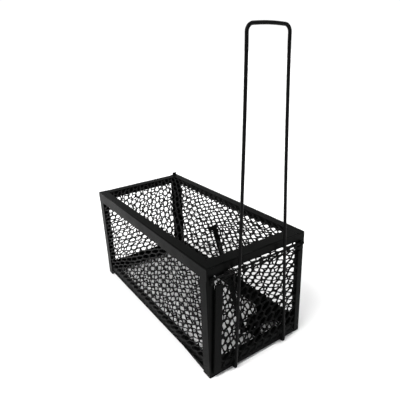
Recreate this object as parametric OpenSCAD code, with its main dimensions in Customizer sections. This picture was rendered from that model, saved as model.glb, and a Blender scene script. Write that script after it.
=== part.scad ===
// Live catch trap: a small mesh cage bound with folded sheet strips, a top-hinged
// end door, a long setting wire and a treadle with a hooked trigger lever.
// Frame: origin on the ground under the middle of the whole trap, X across the
// door, Y towards the closed end, Z up.

/* [Cage] */
// Width across the door
cage_w = 120; // [110:1:140]
// Length of the cage
cage_l = 246; // [220:1:280]
// Height from the feet to the top strips
cage_h = 120; // [115:1:140]
// Height of the floor frame above the feet
foot_h = 4.3; // [3:0.1:6]

/* [Sheet strips] */
// Thickness of the folded strips
sheet_t = 0.7; // [0.5:0.1:0.8]
// Outside radius of a fold
fold_r = 1.2; // [1:0.1:1.5]
// Width of the long top strips on the sides
top_side_w = 12.5; // [11:0.5:14]
// Width of the long top strips on the top
top_flat_w = 10; // [9:0.5:11]
// Height of the strip above the door
front_w = 8.5; // [7:0.5:9]
// Depth of the strip above the door
front_flat_w = 12.6; // [11:0.1:14]
// Width of the corner posts on the sides
post_w = 11; // [10:0.5:13]
// Width of the two door-end posts on the front
post_front_w = 8; // [7:0.5:9]
// Width of the floor frame strips
floor_w = 11; // [9:0.5:12]

/* [Mesh] */
// Thickness of the expanded mesh
mesh_t = 1.0; // [0.8:0.1:1]
// Distance between cells along a row
cell_pitch = 10.3; // [10:0.1:12]
// Distance between rows
row_pitch = 8.7; // [8.5:0.1:10]
// Sideways step from one row to the next
row_step = 3.2; // [2.5:0.1:4]
// Size of a cell's opening against its share of the sheet
cell_open = 0.85; // [0.75:0.01:0.9]

/* [Door] */
// Height of the hinge rod
hinge_z = 109; // [109:0.1:109.4]
// Radius of the hinge rod and of the rod along the door's lower edge
rod_r = 1.0; // [0.9:0.05:1.1]
// Height of the door's lower rod
door_rod_z = 4.2; // [4.2:0.1:5]
// How far the door opens
door_swing = 95; // [80:1:95]

/* [Setting wire] */
// Radius of the wire
wire_r = 1.25; // [1:0.05:1.3]
// Height of the crossbar's centre line above the door's lower rod
wire_rise = 306.3; // [250:0.1:320]
// Half the distance between the legs at the door's lower edge
wire_low_x = 32; // [30:0.5:34]
// Half the distance between the legs at the crossbar
wire_top_x = 21.5; // [20:0.5:24]
// Bend radius at the top corners
wire_bend_r = 6; // [5:0.5:8]
// Forward lean of the wire
wire_lean = 0.55; // [0.3:0.05:0.8]

/* [Trigger] */
// Width of the lever strip
lever_w = 5.5; // [5:0.5:6]
// Sideways lean of the lever
lever_side = 9.3; // [9.2:0.1:9.5]
// Backward lean of the lever
lever_back = 9.8; // [9.6:0.1:10]
// Height of the pivot pin
pivot_z = 21; // [20.5:0.5:22]
// Radius of the pivot pin
pivot_r = 1.5; // [1.2:0.1:1.6]

/* [Hidden] */
$fn = 48;

// Distance between two surfaces that move past each other
gap = 0.3;
// Running clearance on a pin
pin_gap = 0.05;

// The hinge rod lies just in front of the posts
rod_out = 1.8;
// The wire's lower hooks wrap the door's lower rod with room to turn
hook_r = rod_r + wire_r + 0.45;
// How far the leaning wire stands out in front of the posts
reach = rod_out + hook_r + wire_rise * tan(wire_lean) + wire_r;

half_w = cage_w / 2;
y_front = (reach - cage_l) / 2;
y_back = y_front + cage_l;
rod_y = y_front - rod_out;

// Planes of the wall, top and floor panels
wall_x = half_w - sheet_t;
wall_in_x = wall_x - mesh_t;
wall_top_z = cage_h - sheet_t - mesh_t;
floor_z = foot_h + sheet_t;
back_in_y = y_back - sheet_t - mesh_t;
// The floor frame stands back from the door to leave room for the wire's hooks
floor_front_y = y_front + 2.8;

post_h = cage_h - top_side_w;
lintel_z = cage_h - front_w;
// Length of the tapered lip at the foot of the left wall
lip_l = 41;
// Length and thickness of the folded-over tab at the top left corner
tab_l = 21;
tab_t = 0.5;

// Door outline
door_top_z = 106;
door_strip_top_z = 101.5;
door_left_top_x = -52.3;
door_left_low_x = -57;
door_right_x = 53.5;
door_side_w = 8;
door_thin_w = 4;
door_strip_t = 0.6;
door_low_z = door_rod_z + rod_r;
door_strip_h = 8;
door_back_y = rod_y + mesh_t / 2;
door_front_y = rod_y - mesh_t / 2;

// Hinge spring
coil_wire_r = 0.6;
coil_r = rod_r + 0.15 + coil_wire_r;
coil_turns = 4;
coil_x = -37.5;
coil_pitch = 2 * coil_wire_r + 0.05;
arm_x = coil_x + (coil_turns - 1) * coil_pitch + 2 * coil_wire_r + gap;
spring_arm_l = 15;

// Setting wire: lean of each leg, half the crossbar's straight part, and the leg
// from its hook up to the corner's bend
wire_taper = atan((wire_low_x - wire_top_x) / wire_rise);
wire_bar_half = wire_top_x - wire_bend_r * tan((90 - wire_taper) / 2);
wire_leg_top = wire_rise - wire_bend_r + wire_bend_r * sin(wire_taper);
wire_leg_l = wire_leg_top / cos(wire_taper);
wire_foot_x = wire_bar_half + wire_bend_r * cos(wire_taper) + wire_leg_top * tan(wire_taper);

// Trigger geometry, measured from the pivot pin's axis
pivot_x = 12.5;
ear_y = [y_front + 13, y_front + 26.5];
crank_y = y_front + 24;
crank_t = 1;
lever_t = 0.8;
lever_foot_x = -13.3;
lever_foot_z = -10.8;
lever_bend_z = 2;
rivet_z = [-8, -3];
lever_top_z = 115.7;
hook_reach = 4;
hook_h = 4;
// Slot in the top that the lever moves in
slot_x = [-26, -12.9];
slot_y = [y_front + 40, y_front + 45.2];
pad_x = [33, 50.5];
pad_y = [y_front + 21.5, y_front + 39.5];
pad_z = floor_z + mesh_t + gap;

// ---------- shared shapes ----------

// Folded angle in the XY plane: one leg along +X, one along +Y, fold at the origin
module angle_2d(leg_x, leg_y) {
  translate([fold_r, 0]) square([leg_x - fold_r, sheet_t]);
  translate([0, fold_r]) square([sheet_t, leg_y - fold_r]);
  intersection() {
    square(fold_r);
    difference() {
      translate([fold_r, fold_r]) circle(fold_r);
      translate([fold_r, fold_r]) circle(fold_r - sheet_t);
    }
  }
}

// Upright folded angle of a given height
module upright_angle(leg_x, leg_y, h) {
  linear_extrude(h) angle_2d(leg_x, leg_y);
}

// Folded angle lying along +Y: one leg along +X, one leg hanging along -Z
module long_angle(leg_x, leg_z, l) {
  translate([0, l, 0]) rotate([90, 0, 0]) linear_extrude(l) mirror([0, 1]) angle_2d(leg_x, leg_z);
}

// Folded angle lying along +X: one leg along +Y, one leg hanging along -Z
module cross_angle(leg_y, leg_z, l) {
  rotate([90, 0, 90]) linear_extrude(l) mirror([0, 1]) angle_2d(leg_y, leg_z);
}

// Hexagonal cell of an expanded sheet whose cells repeat along a and b
module cell_2d(a, b) {
  p = (a + b) / 3;
  q = (2 * a - b) / 3;
  r = (2 * b - a) / 3;
  polygon(cell_open * [p, r, -q, -p, -r, q]);
}

// Flat mesh panel in the XY plane, w by h, with rows of cells along X
module mesh_2d(w, h, step) {
  a = [cell_pitch, 0];
  b = [step < 0 ? step + cell_pitch : step, row_pitch];
  rows = floor((h - 2) / row_pitch);
  low = (h - (rows - 1) * row_pitch) / 2;
  difference() {
    square([w, h]);
    for (j = [0:rows - 1])
      for (i = [-ceil(rows * abs(step) / cell_pitch):ceil((w + rows * abs(step)) / cell_pitch)]) {
        x = w / 2 + (i - round(w / 2 / cell_pitch)) * cell_pitch + (j - rows / 2) * step;
        if (x > 6.4 && x < w - 6.4) translate([x, low + j * row_pitch]) cell_2d(a, b);
      }
  }
}

// Part of a bent wire: an arc in the XY plane about the origin
module wire_arc(bend, start, sweep, r) {
  rotate([0, 0, start]) rotate_extrude(angle = sweep) translate([bend, 0]) circle(r);
}

// ---------- corner posts ----------

// Door-end post: the front flange runs up to the strip over the door
module front_post() {
  color([0.07, 0.07, 0.075]) {
    upright_angle(post_front_w, post_w, post_h);
    translate([sheet_t, 0, post_h]) cube([post_front_w - sheet_t, sheet_t, lintel_z - post_h]);
  }
}

module post_front_left() {
  translate([-half_w, y_front, 0]) front_post();
}

module post_front_right() {
  mirror([1, 0, 0]) post_front_left();
}

module post_back_left() {
  color([0.07, 0.07, 0.075])
    translate([-half_w, y_back, 0]) mirror([0, 1, 0]) upright_angle(post_w, post_w, post_h);
}

module post_back_right() {
  mirror([1, 0, 0]) post_back_left();
}

// ---------- top strips ----------

module top_strip_left() {
  color([0.09, 0.09, 0.095]) {
    translate([-half_w, y_front, cage_h]) long_angle(top_flat_w, top_side_w, cage_l);
    // Tab folded over the end of the front strip
    translate([-half_w + fold_r, y_front + 0.4, cage_h]) {
      cube([tab_l - fold_r - front_flat_w / 2, front_flat_w, tab_t]);
      intersection() {
        translate([tab_l - fold_r - front_flat_w / 2, front_flat_w / 2, 0]) cylinder(h = tab_t, r = front_flat_w / 2);
        translate([tab_l - fold_r - front_flat_w / 2, 0, 0]) cube([front_flat_w, front_flat_w, tab_t]);
      }
    }
  }
}

// The right one ends in a small turned-up corner
module top_strip_right() {
  color([0.09, 0.09, 0.095]) {
    translate([half_w, y_front, cage_h]) mirror([1, 0, 0]) long_angle(top_flat_w, top_side_w, cage_l);
    translate([half_w - 7.5, y_back - 1.2, cage_h]) cube([6, sheet_t, 3.2]);
  }
}

// Cross strip between the two long ones: full angle in the middle, one leg at the ends
module cross_strip(flat_w, side_w) {
  mid = cage_w - 2 * top_flat_w;
  translate([-mid / 2, 0, 0]) cross_angle(flat_w, side_w, mid);
  for (side = [0, 1]) mirror([side, 0, 0])
    translate([mid / 2, 0, -side_w]) cube([wall_x - mid / 2, sheet_t, side_w - fold_r]);
}

module top_strip_front() {
  color([0.09, 0.09, 0.095])
    translate([0, y_front, cage_h]) cross_strip(front_flat_w, front_w);
}

module top_strip_back() {
  color([0.09, 0.09, 0.095])
    translate([0, y_back, cage_h]) mirror([0, 1, 0]) cross_strip(floor_w, top_side_w);
}

// ---------- floor frame, inside the walls ----------

module floor_strip_right() {
  color([0.06, 0.06, 0.065])
    translate([wall_in_x, floor_front_y, foot_h]) mirror([1, 0, 0]) mirror([0, 0, 1])
      long_angle(floor_w, floor_w, back_in_y - floor_front_y);
}

// The left one turns out under the wall near the door, into a tapered lip
module floor_strip_left() {
  lip_y = y_front + post_w + gap;
  mirror([1, 0, 0]) floor_strip_right();
  color([0.06, 0.06, 0.065]) {
    translate([-wall_x, lip_y, foot_h - sheet_t]) cube([4, 12, sheet_t]);
    translate([-half_w, lip_y, 0]) rotate([90, 0, 90]) linear_extrude(sheet_t)
      polygon([[0, foot_h - 1.9], [lip_l, foot_h + 2], [lip_l, foot_h + 2.7], [0, foot_h + 2.7]]);
  }
}

module floor_cross(upright) {
  mid = 2 * (wall_in_x - floor_w);
  mirror([0, 0, 1]) translate([-mid / 2, 0, 0]) cross_angle(floor_w, upright, mid);
  for (side = [0, 1]) mirror([side, 0, 0])
    translate([mid / 2, 0, fold_r]) cube([floor_w - sheet_t, sheet_t, upright - fold_r]);
}

module floor_strip_front() {
  color([0.06, 0.06, 0.065]) translate([0, floor_front_y, foot_h]) floor_cross(7);
}

module floor_strip_back() {
  color([0.06, 0.06, 0.065]) translate([0, back_in_y, foot_h]) mirror([0, 1, 0]) floor_cross(floor_w);
}

// ---------- mesh panels ----------

module mesh_right() {
  l = cage_l - 2 * fold_r;
  color([0.1, 0.1, 0.105])
    translate([wall_in_x, y_front + fold_r, foot_h])
      rotate([90, 0, 90]) linear_extrude(mesh_t) mesh_2d(l, wall_top_z - foot_h, row_step);
}

// The panels end at the start of each fold
module mesh_left() {
  mirror([1, 0, 0]) mesh_right();
}

module mesh_back() {
  color([0.1, 0.1, 0.105])
    translate([-wall_in_x, back_in_y + mesh_t, foot_h])
      rotate([90, 0, 0]) linear_extrude(mesh_t) mesh_2d(2 * wall_in_x, wall_top_z - foot_h, -row_step);
}

// The top has a slot that the trigger lever moves in
module mesh_top() {
  l = cage_l - 2 * fold_r;
  w = cage_w - 2 * fold_r;
  color([0.1, 0.1, 0.105]) difference() {
    translate([w / 2, y_front + fold_r, wall_top_z])
      rotate([0, 0, 90]) linear_extrude(mesh_t) mesh_2d(l, w, row_step);
    translate([slot_x[0], slot_y[0], wall_top_z - 1])
      cube([slot_x[1] - slot_x[0], slot_y[1] - slot_y[0], mesh_t + 2]);
  }
}

module mesh_floor() {
  l = back_in_y - floor_front_y - 2 * fold_r;
  w = 2 * (wall_in_x - fold_r);
  color([0.1, 0.1, 0.105])
    translate([w / 2, floor_front_y + fold_r, floor_z])
      rotate([0, 0, 90]) linear_extrude(mesh_t) mesh_2d(l, w, row_step);
}

// ---------- hinge ----------

module hinge_rod() {
  color([0.12, 0.12, 0.125])
    translate([-57, rod_y, hinge_z]) rotate([0, 90, 0]) cylinder(h = 114, r = rod_r);
}

// Strap clips that hold the rod's ends on the posts
module hinge_clips() {
  clip_w = 4;
  clip_r = rod_out;
  color([0.09, 0.09, 0.095]) for (side = [0, 1]) mirror([side, 0, 0])
    translate([52.5, rod_y, hinge_z]) {
      difference() {
        union() {
          rotate([0, 90, 0]) cylinder(h = clip_w, r = clip_r);
          translate([0, clip_r - 0.8, -7]) cube([clip_w, 0.8, 7]);
        }
        translate([-1, 0, 0]) rotate([0, 90, 0]) cylinder(h = clip_w + 2, r = rod_r);
      }
    }
}

// Rivets through the clips' tails into the posts
module clip_rivets() {
  color([0.14, 0.14, 0.145]) for (side = [0, 1]) mirror([side, 0, 0])
    translate([54.5, y_front - 0.8, hinge_z - 4.8]) rotate([90, 0, 0]) cylinder(h = 0.7, r = 1.2);
}

// ---------- hinge spring: wire turns round the rod, and two arms ----------

module spring_turn(x, start, sweep) {
  translate([x, rod_y, hinge_z]) rotate([0, 90, 0]) wire_arc(coil_r, start, sweep, coil_wire_r);
}

// The first turn leaves the coil upwards, in front of the strip over the door
module spring_coil() {
  color([0.2, 0.19, 0.19]) {
    for (i = [1:coil_turns - 1]) spring_turn(coil_x + i * coil_pitch, 0, 360);
    spring_turn(coil_x, -90, 320);
    translate([coil_x, rod_y - coil_r, hinge_z]) cylinder(h = 8, r = coil_wire_r);
  }
}

// The last turn leaves the coil downwards, in front of the door
module spring_arm() {
  color([0.2, 0.19, 0.19]) {
    spring_turn(arm_x, -410, 320);
    translate([arm_x, rod_y - coil_r, hinge_z - spring_arm_l]) cylinder(h = spring_arm_l, r = coil_wire_r);
  }
}

// ---------- door ----------

// Outline of the door: its left side spreads a little towards the bottom
function door_left_x(z) = door_left_low_x
  + (door_left_top_x - door_left_low_x) * (z - door_low_z) / (door_strip_top_z - door_low_z);

module door_mesh() {
  w = door_right_x - door_left_low_x - 2 * door_strip_t;
  h = door_top_z - door_low_z;
  color([0.1, 0.1, 0.105])
    translate([0, door_back_y, 0]) rotate([90, 0, 0]) linear_extrude(mesh_t) intersection() {
      translate([door_left_low_x + door_strip_t, door_low_z]) mesh_2d(w, h, -2.6);
      polygon([
        [door_left_x(door_low_z) + door_strip_t, door_low_z],
        [door_right_x - door_strip_t, door_low_z],
        [door_right_x - door_strip_t, door_top_z],
        [door_left_x(door_strip_top_z) + 6, door_top_z],
        [door_left_x(door_strip_top_z) + door_strip_t, door_strip_top_z]
      ]);
    }
}

// Strip folded over a side edge of the door mesh: web outside, a flange on each face
module door_channel(points_front, points_web) {
  t = door_strip_t;
  for (y = [door_front_y, door_back_y + t])
    translate([0, y, 0]) rotate([90, 0, 0]) linear_extrude(t) polygon(points_front);
  translate([0, door_back_y, 0]) rotate([90, 0, 0]) linear_extrude(mesh_t) polygon(points_web);
}

module door_strip_left() {
  low = door_low_z;
  top = door_strip_top_z;
  xl = door_left_x(low);
  xt = door_left_x(top);
  color([0.08, 0.08, 0.085]) door_channel(
    [[xl, low], [xl + door_side_w, low], [xt + door_side_w, top], [xt, top]],
    [[xl, low], [xl + door_strip_t, low], [xt + door_strip_t, top], [xt, top]]
  );
}

module door_strip_right() {
  low = door_low_z;
  top = door_strip_top_z;
  x = door_right_x;
  color([0.08, 0.08, 0.085]) door_channel(
    [[x - door_thin_w, low], [x, low], [x, top], [x - door_thin_w, top]],
    [[x - door_strip_t, low], [x, low], [x, top], [x - door_strip_t, top]]
  );
}

// Flat strip behind the mesh along the lower edge
module door_strip_bottom() {
  left = door_left_x(door_low_z + door_strip_h) + door_side_w;
  color([0.08, 0.08, 0.085])
    translate([left, door_back_y, door_low_z])
      cube([door_right_x - door_thin_w - left, door_strip_t, door_strip_h]);
}

module door_lower_rod() {
  color([0.12, 0.12, 0.125])
    translate([door_left_low_x + 1, rod_y, door_rod_z]) rotate([0, 90, 0])
      cylinder(h = door_right_x - door_left_low_x - 2, r = rod_r);
}

// Mesh ends rolled round the hinge rod
module door_knuckles() {
  outer = rod_r + 0.7;
  color([0.1, 0.1, 0.105]) for (x = [-42, -21.7, -11.4, -1.1, 9.2, 19.5, 34, 44])
    translate([x, rod_y, hinge_z]) difference() {
      union() {
        rotate([0, 90, 0]) cylinder(h = 3, r = outer);
        translate([0, -mesh_t / 2, door_top_z - hinge_z]) cube([3, mesh_t, hinge_z - door_top_z]);
      }
      translate([-1, 0, 0]) rotate([0, 90, 0]) cylinder(h = 5, r = rod_r + pin_gap);
    }
}

// ---------- setting wire ----------

// Bent from one wire: two legs that close in towards the crossbar, with a hook
// under each that turns on the door's lower rod
module wire_leg(side) {
  translate([side * wire_foot_x, 0, 0]) rotate([0, -side * wire_taper, 0]) {
    cylinder(h = wire_leg_l, r = wire_r);
    translate([0, hook_r, 0]) rotate([0, 90, 0]) wire_arc(hook_r, -90, 195, wire_r);
  }
}

module wire_corner() {
  translate([-wire_bar_half, 0, wire_rise - wire_bend_r])
    rotate([90, 0, 0]) wire_arc(wire_bend_r, 90, 90 - wire_taper, wire_r);
}

module setting_wire() {
  color([0.05, 0.05, 0.055])
    translate([0, rod_y, door_rod_z]) rotate([wire_lean, 0, 0]) translate([0, -hook_r, 0]) {
      wire_leg(-1);
      wire_leg(1);
      wire_corner();
      rotate([0, 0, 180]) wire_corner();
      translate([-wire_bar_half, 0, wire_rise]) rotate([0, 90, 0]) cylinder(h = 2 * wire_bar_half, r = wire_r);
    }
}

// ---------- trigger ----------

// Side outline of the lever strip: upright at its foot, then leaning back
module lever_side_2d(z_from, z_to) {
  run = tan(lever_back);
  lean = function (z) max(0, z - lever_bend_z) * run;
  mid = z_from < lever_bend_z ? [[lever_bend_z, lean(lever_bend_z)]] : [];
  line = concat([[z_from, lean(z_from)]], mid, [[z_to, lean(z_to)]]);
  back = [for (i = [len(line) - 1:-1:0]) [line[i][1] + lever_t, line[i][0]]];
  polygon(concat([for (p = line) [p[1], p[0]]], back));
}

module lever_slice(x, w, z_from, z_to) {
  translate([x, 0, 0]) rotate([90, 0, 90]) linear_extrude(w) lever_side_2d(z_from, z_to);
}

// Flat strip from the crank plate up through the top, with a hook to the left
module trigger_lever() {
  color([0.12, 0.12, 0.125])
    translate([pivot_x, crank_y + crank_t / 2, pivot_z]) rotate([0, -lever_side, 0])
      difference() {
        union() {
          lever_slice(lever_foot_x - lever_w / 2, lever_w, lever_foot_z, lever_top_z);
          lever_slice(lever_foot_x - lever_w / 2 - hook_reach, hook_reach, lever_top_z - hook_h, lever_top_z);
        }
        for (z = rivet_z) translate([lever_foot_x, -1, z]) rotate([-90, 0, 0]) cylinder(h = lever_t + 2, r = 1);
      }
}

// Upright plate that turns on the pivot pin and joins the lever to the treadle
module crank_plate() {
  t = crank_t;
  color([0.11, 0.11, 0.115])
    translate([0, crank_y + t / 2, 0]) rotate([90, 0, 0]) linear_extrude(t) difference() {
      polygon([[-3, pad_z + 2], [8, pad_z + 1.6], [20, pad_z + 2.4], [pad_x[0], pad_z], [pad_x[0], pad_z + 6],
               [pivot_x + 8, pivot_z], [pivot_x + 6, pivot_z + 4.5], [pivot_x - 1.5, pivot_z + 4.5],
               [pivot_x - 4.2, pivot_z], [8, 12.5], [4.5, 12.5], [2.5, 18.5], [-4, 18.5]]);
      translate([pivot_x, pivot_z]) circle(pivot_r + pin_gap);
      for (z = rivet_z) translate([pivot_x, pivot_z])
        rotate(lever_side) translate([lever_foot_x, z]) circle(1);
    }
}

// Tray-like treadle: base, raised left rim and upright back
module treadle_plate() {
  t = 0.8;
  w = pad_x[1] - pad_x[0];
  d = pad_y[1] - pad_y[0];
  color([0.1, 0.1, 0.105]) translate([pad_x[0], pad_y[0], pad_z]) {
    cube([w, d, t]);
    translate([0, 0, t]) cube([t, d - t, 6 - t]);
    translate([0, d - t, t]) cube([w, t, 16]);
  }
}

// Two rivets that hold the lever on the crank plate
module lever_rivets() {
  color([0.16, 0.16, 0.165])
    translate([pivot_x, crank_y - crank_t / 2, pivot_z]) rotate([0, -lever_side, 0])
      for (z = rivet_z) translate([lever_foot_x, 0, z]) {
        rotate([-90, 0, 0]) cylinder(h = crank_t + lever_t, r = 1);
        translate([0, crank_t + lever_t, 0]) rotate([-90, 0, 0]) cylinder(h = 0.7, r = 1.7);
        rotate([90, 0, 0]) cylinder(h = 0.7, r = 1.7);
      }
}

// Bracket on the floor with one upright ear at each end of the pin
module pivot_bracket() {
  t = 0.8;
  ear_w = 8;
  base_z = floor_z + mesh_t;
  color([0.09, 0.09, 0.095]) translate([pivot_x, 0, 0]) {
    translate([-ear_w / 2, ear_y[0], base_z]) cube([ear_w, ear_y[1] - ear_y[0] + t, t]);
    for (y = ear_y) difference() {
      union() {
        translate([-ear_w / 2, y, base_z + t]) cube([ear_w, t, pivot_z - base_z - t]);
        translate([0, y, pivot_z]) rotate([-90, 0, 0]) cylinder(h = t, r = ear_w / 2);
      }
      translate([0, y - 1, pivot_z]) rotate([-90, 0, 0]) cylinder(h = t + 2, r = pivot_r);
    }
  }
}

module pivot_pin() {
  l = ear_y[1] - ear_y[0] + 0.8;
  color([0.16, 0.16, 0.165]) translate([pivot_x, ear_y[0], pivot_z]) rotate([-90, 0, 0]) {
    cylinder(h = l, r = pivot_r);
    translate([0, 0, -0.8]) cylinder(h = 0.8, r = 2.4);
    translate([0, 0, l]) cylinder(h = 0.8, r = 2.4);
  }
}

post_front_left();
post_front_right();
post_back_left();
post_back_right();
top_strip_left();
top_strip_right();
top_strip_front();
top_strip_back();
floor_strip_left();
floor_strip_right();
floor_strip_front();
floor_strip_back();
mesh_left();
mesh_right();
mesh_back();
mesh_top();
mesh_floor();
hinge_rod();
hinge_clips();
clip_rivets();
spring_coil();
door_mesh();
door_strip_left();
door_strip_right();
door_strip_bottom();
door_lower_rod();
door_knuckles();
spring_arm();
setting_wire();
trigger_lever();
crank_plate();
treadle_plate();
lever_rivets();
pivot_bracket();
pivot_pin();
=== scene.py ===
"""A live catch trap: a black painted cage of expanded mesh and folded strips, with a hinged door, a long
setting wire and a treadle with a hooked lever."""
import math

import bmesh
import bpy
import numpy as np
from mathutils import Matrix, Vector


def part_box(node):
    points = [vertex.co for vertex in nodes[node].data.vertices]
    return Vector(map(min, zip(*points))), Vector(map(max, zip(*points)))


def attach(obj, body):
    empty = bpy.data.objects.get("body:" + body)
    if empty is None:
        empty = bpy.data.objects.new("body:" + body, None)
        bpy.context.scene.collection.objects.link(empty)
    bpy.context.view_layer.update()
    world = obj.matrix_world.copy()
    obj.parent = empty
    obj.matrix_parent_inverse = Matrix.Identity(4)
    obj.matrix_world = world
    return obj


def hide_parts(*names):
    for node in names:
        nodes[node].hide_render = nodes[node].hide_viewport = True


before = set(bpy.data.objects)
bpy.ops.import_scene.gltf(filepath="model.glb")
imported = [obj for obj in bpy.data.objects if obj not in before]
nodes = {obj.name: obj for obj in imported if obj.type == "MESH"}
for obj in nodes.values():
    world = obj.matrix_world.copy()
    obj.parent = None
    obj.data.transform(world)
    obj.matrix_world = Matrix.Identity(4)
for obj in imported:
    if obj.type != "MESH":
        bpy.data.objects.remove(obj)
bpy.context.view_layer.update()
scene = bpy.context.scene
MM = 0.001


# ---------- places, from the frame ----------

def box(node):
    """Lowest and highest corner of a CAD node, in millimetres."""
    lo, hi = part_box(node)
    return np.array(lo) / MM, np.array(hi) / MM


FRONT = box("post_front_left")[0][1]


# ---------- materials ----------

# Places of the colour mix's sockets, which share their names with the unused number and vector sockets
MIX_FACTOR, MIX_FIRST, MIX_SECOND, MIX_RESULT = 0, 6, 7, 2
DUST_COLOUR = (0.16, 0.155, 0.145, 1)
# Lighter colour for sharp edges: partly rubbed metal, partly a painted highlight along the edges
WORN_AND_HIGHLIGHT_COLOUR = (0.12, 0.12, 0.12, 1)
BUMP_DEPTH = 0.0004


def painted(name, colour, rough, bump, grain, dust, shine, edge_wear_and_highlight=0.0):
    """Black paint over steel: cloudy colour, specks of dust, uneven gloss and fine orange peel. Edge wear and
    highlight above 0 makes sharp edges lighter: partly rubbed metal, partly a painted highlight along the
    edges."""
    m = bpy.data.materials.new(name)
    m.use_nodes = True
    tree = m.node_tree
    tree.nodes.clear()
    out = tree.nodes.new("ShaderNodeOutputMaterial")
    shader = tree.nodes.new("ShaderNodeBsdfPrincipled")
    tree.links.new(shader.outputs["BSDF"], out.inputs["Surface"])
    place = tree.nodes.new("ShaderNodeTexCoord")

    def noise(scale, detail, roughness=0.5):
        n = tree.nodes.new("ShaderNodeTexNoise")
        n.inputs["Scale"].default_value = scale
        n.inputs["Detail"].default_value = detail
        n.inputs["Roughness"].default_value = roughness
        tree.links.new(place.outputs["Object"], n.inputs["Vector"])
        return n.outputs["Fac"]

    def ramp(value, from_low, from_high, to_low, to_high):
        n = tree.nodes.new("ShaderNodeMapRange")
        n.inputs["From Min"].default_value = from_low
        n.inputs["From Max"].default_value = from_high
        n.inputs["To Min"].default_value = to_low
        n.inputs["To Max"].default_value = to_high
        tree.links.new(value, n.inputs["Value"])
        return n.outputs["Result"]

    def towards(first, second, factor):
        """The colour output first, mixed with the constant colour second."""
        n = tree.nodes.new("ShaderNodeMix")
        n.data_type = "RGBA"
        tree.links.new(first, n.inputs[MIX_FIRST])
        n.inputs[MIX_SECOND].default_value = second
        tree.links.new(factor, n.inputs[MIX_FACTOR])
        return n.outputs[MIX_RESULT]

    speck = noise(260.0, 3.0)
    cloudy = tree.nodes.new("ShaderNodeMix")
    cloudy.data_type = "RGBA"
    cloudy.inputs[MIX_FIRST].default_value = (*[c * 0.75 for c in colour], 1)
    cloudy.inputs[MIX_SECOND].default_value = (*[c * 1.35 for c in colour], 1)
    tree.links.new(ramp(noise(22.0, 5.0), 0.35, 0.65, 0.0, 1.0), cloudy.inputs[MIX_FACTOR])
    paint = towards(cloudy.outputs[MIX_RESULT], DUST_COLOUR, ramp(speck, 0.60, 0.80, 0.0, dust * 4))
    # Painted highlight and wear: sharp edges, found by pointiness, turn lighter in broken specks
    if edge_wear_and_highlight:
        edge = tree.nodes.new("ShaderNodeNewGeometry").outputs["Pointiness"]
        rubbed_and_lit = tree.nodes.new("ShaderNodeMath")
        rubbed_and_lit.operation = "MULTIPLY"
        tree.links.new(ramp(edge, 0.53, 0.62, 0.0, edge_wear_and_highlight), rubbed_and_lit.inputs[0])
        tree.links.new(ramp(speck, 0.45, 0.6, 0.0, 1.0), rubbed_and_lit.inputs[1])
        paint = towards(paint, WORN_AND_HIGHLIGHT_COLOUR, rubbed_and_lit.outputs[0])
    tree.links.new(paint, shader.inputs["Base Color"])
    gloss = ramp(noise(60.0, 4.0), 0.3, 0.7, rough - 0.07, rough + 0.09)
    tree.links.new(gloss, shader.inputs["Roughness"])
    shader.inputs["Specular IOR Level"].default_value = shine
    peel = tree.nodes.new("ShaderNodeBump")
    peel.inputs["Strength"].default_value = bump
    peel.inputs["Distance"].default_value = BUMP_DEPTH
    tree.links.new(noise(grain, 3.0, 0.55), peel.inputs["Height"])
    tree.links.new(peel.outputs["Normal"], shader.inputs["Normal"])
    return m


STRIP = painted("strip_black", (0.0015, 0.0017, 0.0016), 0.32, bump=0.12, grain=900.0, dust=0.001, shine=0.03)
MESH = painted("mesh_black", (0.0026, 0.0027, 0.0027), 0.45, bump=0.2, grain=1500.0, dust=0.001, shine=0.035)
WIRE = painted("wire_black", (0.0018, 0.0018, 0.0019), 0.36, bump=0.02, grain=900.0, dust=0.001, shine=0.05)
SPRING = painted("spring_steel", (0.004, 0.0037, 0.0035), 0.4, bump=0.1, grain=900.0, dust=0.001, shine=0.08)
# The rivets' sharp edges are lightened: partly wear, partly a painted highlight
RIVET = painted("rivet_black", (0.004, 0.004, 0.0042), 0.4, bump=0.12, grain=900.0, dust=0.004, shine=0.06,
                edge_wear_and_highlight=0.2)


# ---------- pieces ----------

def give(obj, material):
    obj.data.materials.clear()
    obj.data.materials.append(material)


def piece(name, data):
    """New object in the scene from a mesh, a curve, a light or a camera."""
    o = bpy.data.objects.new(name, data)
    scene.collection.objects.link(o)
    return o


def mesh_from(name, bm):
    """Mesh data from a bmesh, which is freed."""
    me = bpy.data.meshes.new(name)
    bm.to_mesh(me)
    bm.free()
    return me


def stand_in(obj, node, body, material):
    """Paint a piece, tie it to its body and let it stand in for a CAD node."""
    give(obj, material)
    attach(obj, body)
    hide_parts(node)


# ---------- expanded mesh ----------

SHEET_T = 0.75
# How far a strand's edges stand above or below the panel, as stretching turns them
TILT = 0.7
# Sideways wave of the strands, and the part of it that the openings' outlines follow
SWAY = 0.8
OPENING_SWAY = 0.8 * SWAY
# Height of the slow bulges in a panel
BULGE = 0.12
# Largest random shift of a cell's corner, each way
JITTER = 0.6
# Power that rounds a cell's corners: higher is sharper
ROUND = 12
# Least width of metal left on each side of a strand's middle
THIN = 0.3
# A cell's six corners, in thirds of the two repeat steps from its centre; edge k starts at corner k
CORNERS = [(1, 1), (-1, 2), (-2, 1), (-1, -1), (1, -2), (2, -1)]
# The edges where cells meet end to end at a joint of the slit sheet; the other four are strands
JOINT_EDGES = (0, 3)
EDGE_PARTS = 3
# How far past the panel cells are laid before it is cut to size
MARGIN = 8


def hash2(i, j, k=0):
    """Steady pseudo-random number from -1 to 1 for a lattice point."""
    v = math.sin(i * 12.9898 + j * 78.233 + k * 37.719) * 43758.5453
    return 2 * (v - math.floor(v)) - 1


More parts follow.
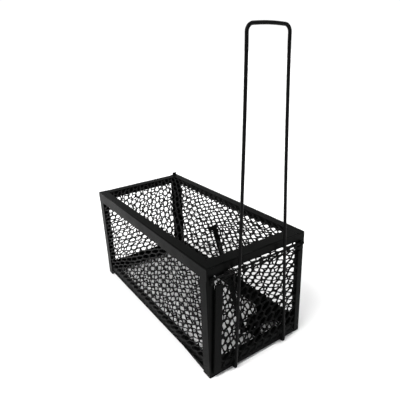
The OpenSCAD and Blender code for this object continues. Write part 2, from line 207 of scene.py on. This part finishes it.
def stretched(p, seed):
    """Point of the panel, shifted by the slow unevenness of hand-fed sheet."""
    s, t = p
    du = 0.45 * math.sin(s / 23.0 + t / 31.0 + seed) + 0.3 * math.sin(t / 14.0 + 2 * seed)
    dv = 0.45 * math.sin(s / 29.0 - t / 19.0 + 3 * seed) + 0.3 * math.sin(s / 17.0 + seed)
    return np.array([s + du, t + dv])


def square_to(way):
    """Unit vector at right angles to way, on its left."""
    return np.array([-way[1], way[0]]) / np.linalg.norm(way)


def sway_sign(part):
    """A strand bows one way at its first third and the other way at its second."""
    return 1 if part == 1 else -1


def cells(size, a, b):
    """Lattice numbers of the cells that touch a panel, each with its centre."""
    w, h = size
    inverse = np.linalg.inv(np.column_stack([a, b]))
    reach = np.array([w, h]) / 2 + MARGIN + 1
    ends = [inverse @ (reach * np.array(c)) for c in ((-1, -1), (1, -1), (1, 1), (-1, 1))]
    first = [int(min(e[k] for e in ends)) - 1 for k in range(2)]
    last = [int(max(e[k] for e in ends)) + 1 for k in range(2)]
    for i in range(first[0], last[0] + 1):
        for j in range(first[1], last[1] + 1):
            centre = a * i + b * j + np.array([w, h]) / 2
            if -MARGIN < centre[0] < w + MARGIN and -MARGIN < centre[1] < h + MARGIN:
                yield i, j, centre


def net(size, a, b, strand, joint, share, seed):
    """Points and faces of a sheet's metal in its own plane, with heights. Each cell gives a ring of faces,
    from its outline, which it shares with its neighbours, to its opening."""
    a, b = np.array(a, float), np.array(b, float)
    across_row = square_to(b)
    long_way = (2 * a - b) * (share / 2 - 1 / 6)
    places, index, points, faces = {}, {}, [], []

    def corner(key):
        if key not in places:
            p = (a * key[0] + b * key[1]) / 3 + np.array(size) / 2
            p = p + long_way * (1 if (key[0] + key[1]) % 3 == 2 else -1)
            uneven = np.array([hash2(key[0], key[1], seed), hash2(key[1], key[0], seed + 5)])
            places[key] = stretched(p, seed) + JITTER * uneven
        return places[key]

    def point(key, p, height):
        if key not in index:
            index[key] = len(points)
            points.append((p[0], p[1], height))
        return index[key]

    for i, j, middle in cells(size, a, b):
        keys = [(3 * i + x, 3 * j + y) for x, y in CORNERS]
        pts = [corner(k) for k in keys]
        c = sum(pts) / 6
        bulge = BULGE * math.sin(middle[0] / 21.0 + seed) * math.cos(middle[1] / 27.0)
        normals, depths = [], []
        for k in range(6):
            n = square_to(pts[(k + 1) % 6] - pts[k])
            if n @ (pts[k] - c) < 0:
                n = -n
            normals.append(n)
            depths.append(n @ (pts[k] - c) - (joint if k in JOINT_EDGES else strand))
        outer, inner = [], []
        for k in range(6):
            edge = pts[(k + 1) % 6] - pts[k]
            low, high = sorted((keys[k], keys[(k + 1) % 6]))
            for part in range(EDGE_PARTS):
                sways = part > 0 and k not in JOINT_EDGES
                q = pts[k] + edge * part / EDGE_PARTS
                key = ("corner",) + keys[k]
                if part:
                    key = ("edge",) + low + high + (part if keys[k] == low else EDGE_PARTS - part,)
                if sways:
                    q = q + SWAY * sway_sign(part) * square_to(edge)
                u = (q - c) / np.linalg.norm(q - c)
                total = sum((max(0.0, n @ u) / d) ** ROUND for n, d in zip(normals, depths))
                r = total ** (-1 / ROUND)
                if sways:
                    r += OPENING_SWAY * sway_sign(part) * (square_to(edge) @ u)
                r = min(r, np.linalg.norm(q - c) - THIN)
                outer.append(point(key, q, bulge))
                inner.append(point(("inner", i, j, k, part), c + u * r, TILT * (u @ across_row) + bulge))
        for k, after in enumerate([*range(1, len(outer)), 0]):
            faces.append((outer[k], outer[after], inner[after], inner[k]))
    return points, faces


def expanded(name, node, body, origin, ex, ey, size, a, b, strand, joint, share, seed, holes=(), slant=None):
    """Panel of slit and stretched sheet, from origin along ex and ey. Cells repeat along a and b, given in
    the panel's own plane, and meet end to end along b. Strand and joint are half widths of metal; share is
    the joint's part of a cell's length. Holes are oblongs to leave out; slant faces away from a leaning left
    edge."""
    w, h = size
    points, faces = net(size, a, b, strand, joint, share, seed)
    bm = bmesh.new()
    verts = [bm.verts.new(p) for p in points]
    for f in faces:
        bm.faces.new([verts[k] for k in f])
    cuts = [((0, 0, 0), (-1, 0, 0)), ((w, 0, 0), (1, 0, 0)), ((0, 0, 0), (0, -1, 0)), ((0, h, 0), (0, 1, 0))]
    if slant:
        cuts.append(((0, 0, 0), slant))
    for co, no in cuts:
        whole = bm.verts[:] + bm.edges[:] + bm.faces[:]
        bmesh.ops.bisect_plane(bm, geom=whole, plane_co=co, plane_no=no, clear_outer=True)
    for x0, y0, x1, y1 in holes:
        middles = [(f, f.calc_center_median()) for f in bm.faces]
        gone = [f for f, m in middles if x0 < m.x < x1 and y0 < m.y < y1]
        bmesh.ops.delete(bm, geom=gone, context="FACES")
    bmesh.ops.remove_doubles(bm, verts=bm.verts[:], dist=0.02)
    bmesh.ops.dissolve_degenerate(bm, dist=0.01, edges=bm.edges[:])
    ex, ey, origin = Vector(ex), Vector(ey), Vector(origin)
    nz = ex.cross(ey)
    for v in bm.verts:
        v.co = (origin + ex * v.co.x + ey * v.co.y + nz * v.co.z) * MM
    bmesh.ops.recalc_face_normals(bm, faces=bm.faces[:])
    o = piece(name, mesh_from(name, bm))
    for p in o.data.polygons:
        p.use_smooth = True
    thick = o.modifiers.new("thick", "SOLIDIFY")
    thick.thickness = SHEET_T * MM
    thick.offset = 0
    thick.use_even_offset = False
    rounding = o.modifiers.new("round", "SUBSURF")
    rounding.levels = rounding.render_levels = 1
    stand_in(o, node, body, MESH)


# Repeat steps and half widths of the cells, for the walls, for the top and floor, and for the two ends
WALL_CELLS = {"a": (10.3, 0.0), "b": (17.2, -8.5), "strand": 0.7, "joint": 1.1, "share": 0.42}
FLAT_CELLS = {"a": (9.0, 7.0), "b": (8.7, 16.9), "strand": 0.72, "joint": 1.1, "share": 0.4}
BACK_CELLS = {"a": (10.3, 0.0), "b": (7.4, 8.8), "strand": 0.62, "joint": 0.5, "share": 1 / 3}
DOOR_CELLS = {"a": (10.3, 0.0), "b": (7.6, 8.8), "strand": 0.7, "joint": 0.5, "share": 1 / 3}
# Opening in the top that the lever leans through: across, and back from the front
SLOT_X = (-26.0, -12.9)
SLOT_Y = (40.0, 45.2)
# The door's left edge leans: its place at the height where the lean starts
DOOR_EDGE_X = -51.7
DOOR_EDGE_Z = 101.5

for seed, side_name in ((1, "left"), (2, "right")):
    lo, hi = box("mesh_" + side_name)
    expanded("mesh_panel_" + side_name, "mesh_" + side_name, "cage", ((lo[0] + hi[0]) / 2, lo[1], lo[2]),
             (0, 1, 0), (0, 0, 1), (hi[1] - lo[1], hi[2] - lo[2]), seed=seed, **WALL_CELLS)
lo, hi = box("mesh_back")
expanded("mesh_panel_back", "mesh_back", "cage", (lo[0], (lo[1] + hi[1]) / 2, lo[2]), (1, 0, 0), (0, 0, 1),
         (hi[0] - lo[0], hi[2] - lo[2]), seed=3, **BACK_CELLS)
lo, hi = box("mesh_top")
slot = (SLOT_X[0] - lo[0], FRONT + SLOT_Y[0] - lo[1], SLOT_X[1] - lo[0], FRONT + SLOT_Y[1] - lo[1])
for seed, side_name, openings in ((4, "top", [slot]), (5, "floor", [])):
    lo, hi = box("mesh_" + side_name)
    expanded("mesh_panel_" + side_name, "mesh_" + side_name, "cage", (lo[0], lo[1], (lo[2] + hi[2]) / 2),
             (1, 0, 0), (0, 1, 0), (hi[0] - lo[0], hi[1] - lo[1]), holes=openings, seed=seed, **FLAT_CELLS)
lo, hi = box("door_mesh")
outward = Vector((-(DOOR_EDGE_Z - lo[2]), DOOR_EDGE_X - lo[0], 0)).normalized()
expanded("mesh_panel_door", "door_mesh", "door", (lo[0], (lo[1] + hi[1]) / 2, lo[2]), (1, 0, 0), (0, 0, 1),
         (hi[0] - lo[0], hi[2] - lo[2]), seed=6, slant=outward, **DOOR_CELLS)


# ---------- selvage along the panels' open edges ----------

SELVAGE_W = 1.3
SELVAGE_HALF_T = 0.42
SELVAGE_STEPS = 40
SELVAGE_UNEVEN = 0.12
# The bar along the door's top is thinner and starts at the door's leaning left strip
TOP_SELVAGE_W = 1.0
TOP_SELVAGE_X = -46.0


def selvage(name, node, body, start, end, width=SELVAGE_W):
    """Flat upright bar along a panel's edge, from start to end, a little uneven in height."""
    start, end, upright = Vector(start), Vector(end), Vector((0, 0, 1))
    n = (end - start).cross(upright).normalized()
    bm = bmesh.new()
    corners = [(-1, -1), (1, -1), (1, 1), (-1, 1)]
    offsets = [upright * (width / 2 * x) + n * (SELVAGE_HALF_T * y) for x, y in corners]
    rings = []
    for i in range(SELVAGE_STEPS + 1):
        c = start.lerp(end, i / SELVAGE_STEPS) + upright * (SELVAGE_UNEVEN * hash2(i, len(name)))
        rings.append([bm.verts.new((c + offset) * MM) for offset in offsets])
    for r0, r1 in zip(rings, rings[1:]):
        for k in range(4):
            bm.faces.new((r0[k], r0[(k + 1) % 4], r1[(k + 1) % 4], r1[k]))
    bm.faces.new(rings[0][::-1])
    bm.faces.new(rings[-1])
    bmesh.ops.recalc_face_normals(bm, faces=bm.faces[:])
    o = piece(name, mesh_from(name, bm))
    bevel = o.modifiers.new("round", "BEVEL")
    bevel.width = 0.25 * MM
    bevel.segments = 2
    bevel.limit_method = "ANGLE"
    bevel.angle_limit = math.radians(40)
    stand_in(o, node, body, MESH)


for side_name in ("left", "right"):
    lo, hi = box("mesh_" + side_name)
    x, z = (lo[0] + hi[0]) / 2, lo[2] + SELVAGE_W / 2
    selvage("selvage_" + side_name, "mesh_" + side_name, "cage", (x, lo[1] + 0.3, z), (x, hi[1] - 0.3, z))
for name, node, body in (("selvage_back", "mesh_back", "cage"), ("selvage_door_low", "door_mesh", "door")):
    lo, hi = box(node)
    y, z = (lo[1] + hi[1]) / 2, lo[2] + SELVAGE_W / 2
    selvage(name, node, body, (lo[0] + 1, y, z), (hi[0] - 1, y, z))
lo, hi = box("door_mesh")
y, z = (lo[1] + hi[1]) / 2, hi[2] - TOP_SELVAGE_W / 2
selvage("selvage_door_top", "door_mesh", "door", (TOP_SELVAGE_X, y, z), (hi[0] - 0.5, y, z), TOP_SELVAGE_W)


# ---------- round wires ----------

def wound(name, node, body, points, radius, material):
    """Round wire through a list of points in millimetres."""
    c = bpy.data.curves.new(name, "CURVE")
    c.dimensions = "3D"
    c.bevel_depth = radius * MM
    c.bevel_resolution = 4
    c.use_fill_caps = True
    sp = c.splines.new("POLY")
    sp.points.add(len(points) - 1)
    for p, q in zip(sp.points, points):
        p.co = (*(Vector(q) * MM), 1)
    stand_in(piece(name, c), node, body, material)


# ---------- hinge spring ----------

COIL_WIRE = 0.6
COIL_R = 1.75
COIL_TURNS = 3
TURN_STEPS = 28
# Part of a turn where the moving arm's own turn starts
ARM_START = 0.14

rod_lo, rod_hi = box("hinge_rod")
rod_y, rod_z = (rod_lo[1] + rod_hi[1]) / 2, (rod_lo[2] + rod_hi[2]) / 2


def coil_point(x, turn):
    """Point of the coil: turn 0 is in front of the rod, and the wire there runs downwards."""
    t = 2 * math.pi * turn
    return (x, rod_y - COIL_R * math.cos(t), rod_z - COIL_R * math.sin(t))


coil_lo, coil_hi = box("spring_coil")
first_x, last_x = coil_lo[0] + COIL_WIRE, coil_hi[0] - COIL_WIRE
coil = [(first_x, rod_y - COIL_R, coil_hi[2])]
for k in range(COIL_TURNS * TURN_STEPS + 1):
    coil.append(coil_point(first_x + (last_x - first_x) * k / (COIL_TURNS * TURN_STEPS), k / TURN_STEPS))
wound("spring_winding", "spring_coil", "cage", coil, COIL_WIRE, SPRING)

arm_lo, arm_hi = box("spring_arm")
arm_x = (arm_lo[0] + arm_hi[0]) / 2
arm = [coil_point(arm_x, ARM_START + (1 - ARM_START) * k / TURN_STEPS) for k in range(TURN_STEPS + 1)]
arm.append((arm_x, rod_y - COIL_R, arm_lo[2] + 0.1))
wound("spring_tail", "spring_arm", "door", arm, COIL_WIRE, SPRING)


# ---------- setting wire ----------

CAD_WIRE_R = 1.25
WIRE_R = 1.5
HOOK_R = 2.7
HOOK_SWEEP = 195
HOOK_STEPS = 22
LEG_STEPS = 41
CORNER_R = 6.0
CORNER_STEPS = 12
BAR_STEPS = 24
# Where each leg ends under its corner, and the shift of its middle, which is inwards for both
BAR_LEFT, BAR_RIGHT = -22.8, 20.8
BOW_LEFT, BOW_RIGHT = 1.0, -1.5
# Fall of the crossbar from left to right, and the arch in it
BAR_DROP = 1.0
BAR_ARCH = 0.35

lower_lo, lower_hi = box("door_lower_rod")
wire_lo, wire_hi = box("setting_wire")
low_z = (lower_lo[2] + lower_hi[2]) / 2
foot_half = (wire_hi[0] - wire_lo[0]) / 2 - CAD_WIRE_R
top_y = wire_lo[1] + CAD_WIRE_R
rise = wire_hi[2] - CAD_WIRE_R - low_z


def wire_leg(side, top, bow):
    """Hook round the door's lower rod, then the leg up to its bend, wandering a little as hand-bent wire
    does."""
    foot = side * foot_half
    points = []
    for k in range(HOOK_STEPS + 1):
        t = math.radians(HOOK_SWEEP * (1 - k / HOOK_STEPS))
        points.append((foot, rod_y - HOOK_R * math.cos(t), low_z - HOOK_R * math.sin(t)))
    for k in range(1, LEG_STEPS):
        f = k / LEG_STEPS
        wander = bow * math.sin(math.pi * f) + side * 0.35 * math.sin(5.1 * f)
        x = foot + (top - foot) * f + wander
        y = rod_y - HOOK_R + (top_y - rod_y + HOOK_R) * f
        points.append((x, y, low_z + (rise - CORNER_R) * f))
    return points


def wire_path():
    """Left leg up, over the slightly bowed crossbar, and down the right leg."""
    left_leg = wire_leg(-1, BAR_LEFT, BOW_LEFT)
    right_leg = wire_leg(1, BAR_RIGHT, BOW_RIGHT)
    left_z = low_z + rise
    right_z = left_z - BAR_DROP
    start, end = left_leg[-1][0] + CORNER_R, right_leg[-1][0] - CORNER_R
    turn = [math.radians(90 * k / CORNER_STEPS) for k in range(CORNER_STEPS + 1)]
    path = list(left_leg)
    for t in turn[1:]:
        path.append((start - CORNER_R * math.cos(t), top_y, left_z - CORNER_R * (1 - math.sin(t))))
    for k in range(1, BAR_STEPS):
        f = k / BAR_STEPS
        z = left_z - BAR_DROP * f * f + BAR_ARCH * math.sin(math.pi * f)
        path.append((start + (end - start) * f, top_y, z))
    for t in turn:
        path.append((end + CORNER_R * math.sin(t), top_y, right_z - CORNER_R * (1 - math.cos(t))))
    return path + right_leg[::-1]


wound("setting_wire_bent", "setting_wire", "wire", wire_path(), WIRE_R, WIRE)


# ---------- CAD nodes that stay ----------

def dress(names, material, bevel_width):
    """Give CAD nodes their paint and, with a width above 0, softened edges."""
    for n in names:
        o = nodes[n]
        give(o, material)
        weld = o.modifiers.new("weld", "WELD")
        weld.merge_threshold = 0.00001
        if bevel_width:
            bevel = o.modifiers.new("bevel", "BEVEL")
            bevel.width = bevel_width * MM
            bevel.segments = 2
            bevel.limit_method = "ANGLE"
            bevel.angle_limit = math.radians(35)
            bevel.harden_normals = True


strips = [n for n in nodes if n.startswith(("post_", "top_strip", "floor_strip", "door_strip"))]
dress(strips, STRIP, 0.12)
dress(["hinge_clips", "pivot_bracket", "crank_plate", "treadle_plate", "trigger_lever"], STRIP, 0.08)
dress(["door_knuckles"], MESH, 0)
dress(["hinge_rod", "door_lower_rod"], WIRE, 0)
dress(["clip_rivets", "lever_rivets", "pivot_pin"], RIVET, 0.1)


# ---------- stage and light ----------

FLOOR_R = 12.0
# The background's strength as a light, and as the camera sees it
SKY_LIGHT, SKY_SEEN = 0.5, 1.05


def stage_floor():
    """Wide pale floor."""
    bm = bmesh.new()
    bmesh.ops.create_circle(bm, cap_ends=True, segments=96, radius=FLOOR_R)
    o = piece("floor", mesh_from("floor", bm))
    m = bpy.data.materials.new("floor_white")
    m.use_nodes = True
    shader = m.node_tree.nodes["Principled BSDF"]
    shader.inputs["Base Color"].default_value = (0.9, 0.9, 0.9, 1)
    shader.inputs["Roughness"].default_value = 0.9
    shader.inputs["Specular IOR Level"].default_value = 0.1
    give(o, m)


def sky():
    """White surroundings."""
    world = bpy.data.worlds.new("studio")
    scene.world = world
    world.use_nodes = True
    tree = world.node_tree
    background = tree.nodes["Background"]
    background.inputs["Color"].default_value = (1, 1, 1, 1)
    ray = tree.nodes.new("ShaderNodeLightPath")
    strength = tree.nodes.new("ShaderNodeMapRange")
    strength.inputs["To Min"].default_value = SKY_LIGHT
    strength.inputs["To Max"].default_value = SKY_SEEN
    tree.links.new(ray.outputs["Is Camera Ray"], strength.inputs["Value"])
    tree.links.new(strength.outputs["Result"], background.inputs["Strength"])


def aim(obj, direction):
    obj.rotation_euler = Vector(direction).to_track_quat("-Z", "Y").to_euler()


def area(name, where, at, size, power):
    """Soft square light at where, in metres, pointing at the place at."""
    d = bpy.data.lights.new(name, "AREA")
    d.shape = "SQUARE"
    d.size = size
    d.energy = power
    o = piece(name, d)
    o.location = where
    aim(o, Vector(at) - Vector(where))


def sun(name, direction, energy, angle):
    """Far light that shines along direction; a wider angle, in degrees, gives softer shadows."""
    d = bpy.data.lights.new(name, "SUN")
    d.energy = energy
    d.angle = math.radians(angle)
    aim(piece(name, d), direction)


stage_floor()
sky()
scene.view_settings.view_transform = "Standard"
sun("key", (0.68, 0.06, -0.73), 3.4, 40)
sun("edge", (-0.5, 0.22, -0.84), 1.3, 5)
area("rim", (-0.6, 0.9, 0.9), (0, 0, 0.1), 0.5, 2)


# ---------- camera ----------

CAMERA_AT = Vector((-225.7, -364.9, 299.5)) * MM
CAMERA_LENS = 36.43
CAMERA_FORWARD = Vector((0.5127, 0.7773, -0.3646)).normalized()
# Direction of the picture's right side, before it is squared to the forward direction
CAMERA_RIGHT = Vector((0.8259, -0.5625, -0.0379))

cam_data = bpy.data.cameras.new("camera")
cam = piece("camera", cam_data)
scene.camera = cam
cam_data.sensor_width = 36.0
cam_data.lens = CAMERA_LENS
right = (CAMERA_RIGHT - CAMERA_FORWARD * CAMERA_RIGHT.dot(CAMERA_FORWARD)).normalized()
up = right.cross(CAMERA_FORWARD)
turned = Matrix((right, up, -CAMERA_FORWARD)).transposed()
cam.matrix_world = Matrix.Translation(CAMERA_AT) @ turned.to_4x4()
